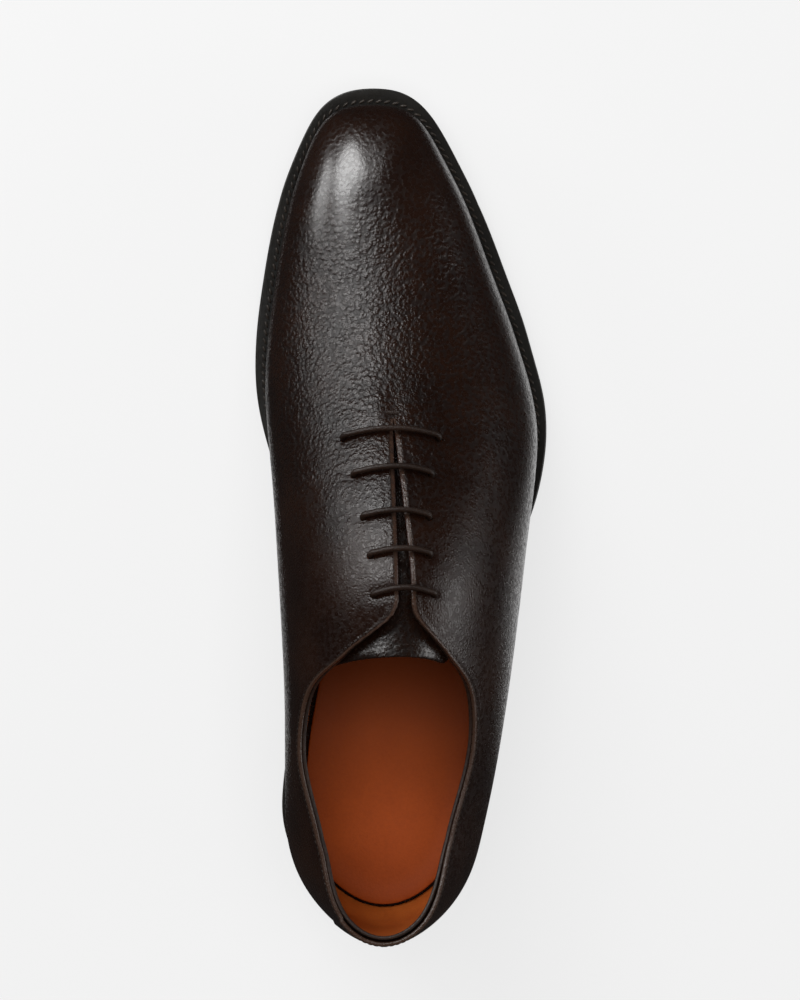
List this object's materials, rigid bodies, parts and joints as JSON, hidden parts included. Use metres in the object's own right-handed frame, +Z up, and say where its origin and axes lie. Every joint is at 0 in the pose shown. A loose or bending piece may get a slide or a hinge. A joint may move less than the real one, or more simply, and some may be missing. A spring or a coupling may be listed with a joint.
{
  "type": "wholecut oxford shoe",
  "caption": "Right men's dress shoe: one-piece laced leather upper, slim almond toe, tan sock lining, stitched welt, leather sole and stacked heel.",
  "frame": {"origin": "on the floor, under the middle of the heel's top piece", "axes": "+Y from heel to toe, +X to the outer side of the foot, +Z up"},
  "size_m": [0.1099, 0.3083, 0.1067],
  "materials": {
    "upper_leather": "dark brown grained leather, burnished and polished at the toe",
    "tongue_leather": "dark brown leather",
    "lace_cotton": "dark brown waxed round cord",
    "sock_leather": "tan vegetable tanned lining leather",
    "insole_leather": "natural leather board",
    "edge_leather": "black inked and burnished edge",
    "top_piece_rubber": "matt black rubber"
  },
  "bodies": {
    "root": {"upper": "upper_leather", "tongue": "tongue_leather", "lace": "lace_cotton", "sock": "sock_leather", "insole": "insole_leather", "welt": "edge_leather", "heel_rand": "edge_leather", "outsole": "edge_leather", "heel_lift_1": "edge_leather", "heel_lift_2": "edge_leather", "heel_lift_3": "edge_leather", "heel_top_piece": "top_piece_rubber"}
  },
  "joints": []
}
